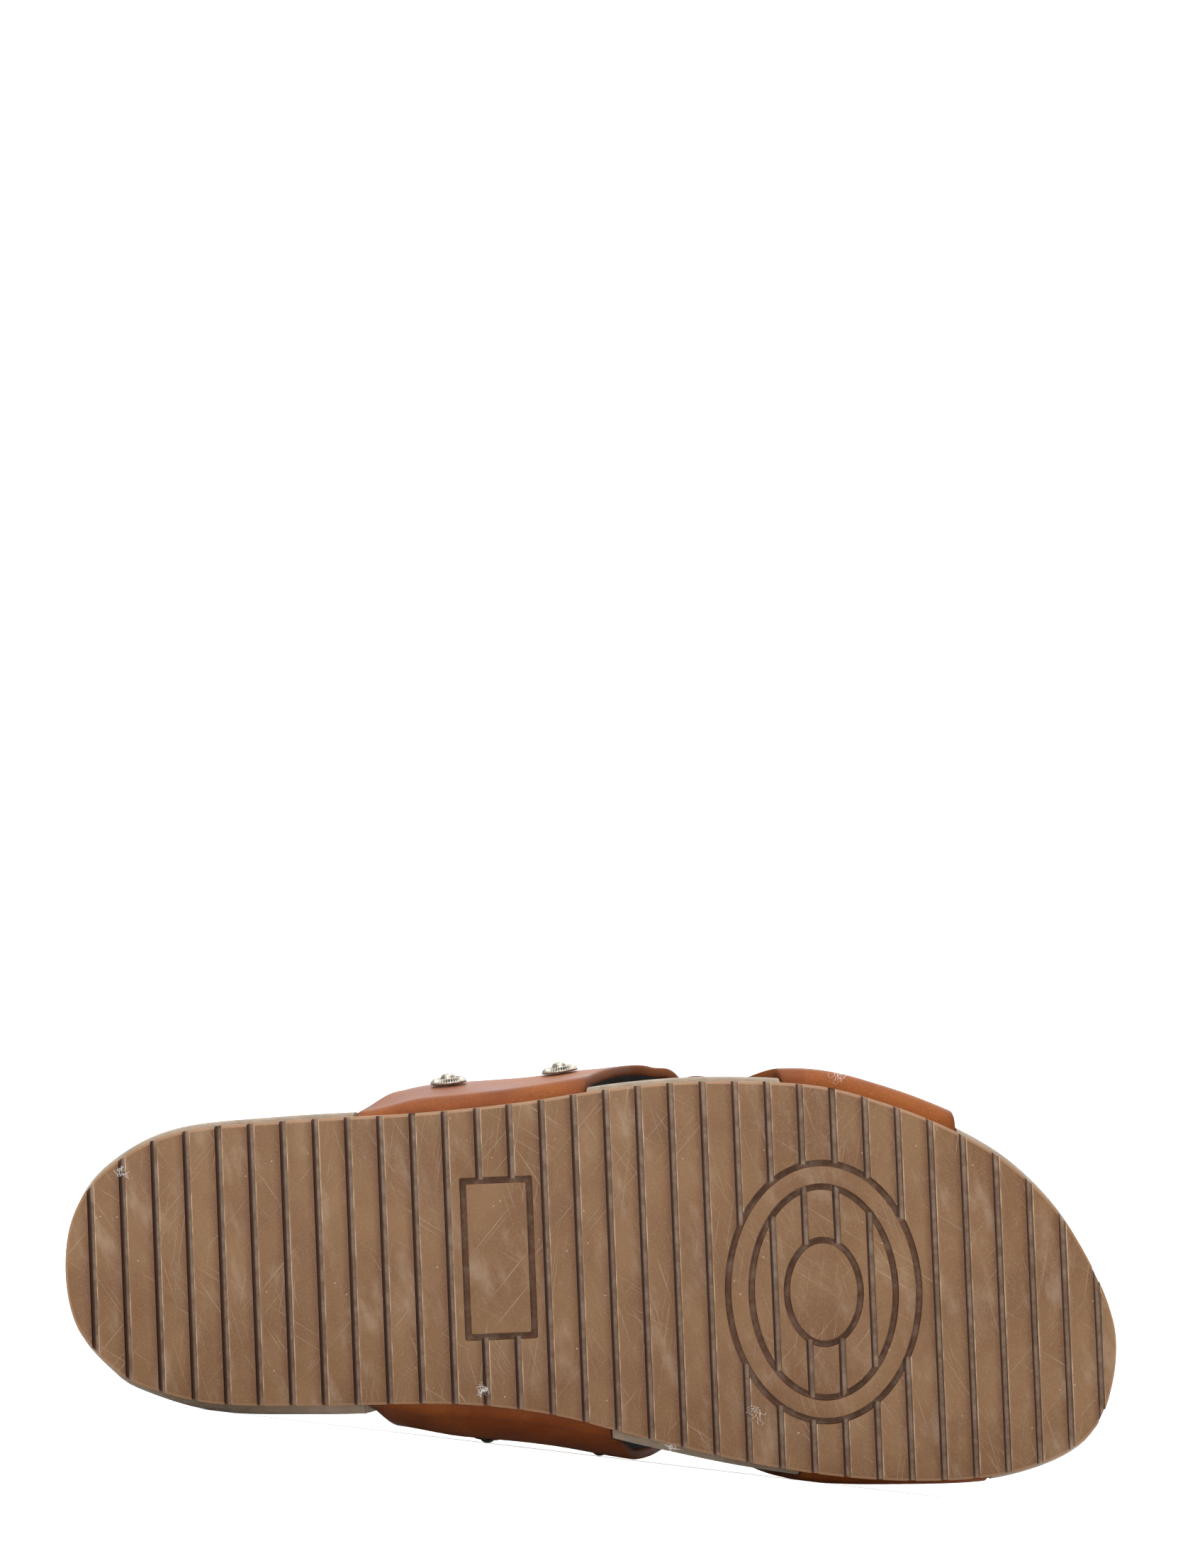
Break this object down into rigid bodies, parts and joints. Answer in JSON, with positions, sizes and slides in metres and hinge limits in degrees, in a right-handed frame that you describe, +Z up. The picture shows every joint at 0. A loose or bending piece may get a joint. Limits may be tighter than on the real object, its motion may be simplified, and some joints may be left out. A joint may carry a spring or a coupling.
{
  "type": "leather slide sandal",
  "caption": "Right slide sandal: two leather straps crossing over the instep, suede-wrapped footbed, ribbed gum rubber sole, round metal studs; lies on its side.",
  "frame": {"origin": "middle of the lying shoe's bounding box, at floor level", "axes": "+X from heel to toe along the floor, +Y from the tread to the top of the straps, +Z up, so the big toe side is down"},
  "size_m": [0.2828, 0.0904, 0.1114],
  "materials": {
    "gum_rubber": "worn matt gum rubber with fine scratches",
    "khaki_suede": "short-napped suede over a light footbed core",
    "sock_suede": "short-napped suede, a little flattened",
    "cognac_leather": "fine-grained oiled leather with burnished edges",
    "old_nickel": "antique nickel, dark in its hollows"
  },
  "bodies": {
    "root": {"outsole": "gum_rubber", "midsole": "khaki_suede", "insole": "sock_suede", "upper": "cognac_leather", "stud_lateral_rear": "old_nickel", "stud_lateral_front": "old_nickel", "stud_medial_rear": "old_nickel", "stud_medial_front": "old_nickel"}
  },
  "joints": []
}
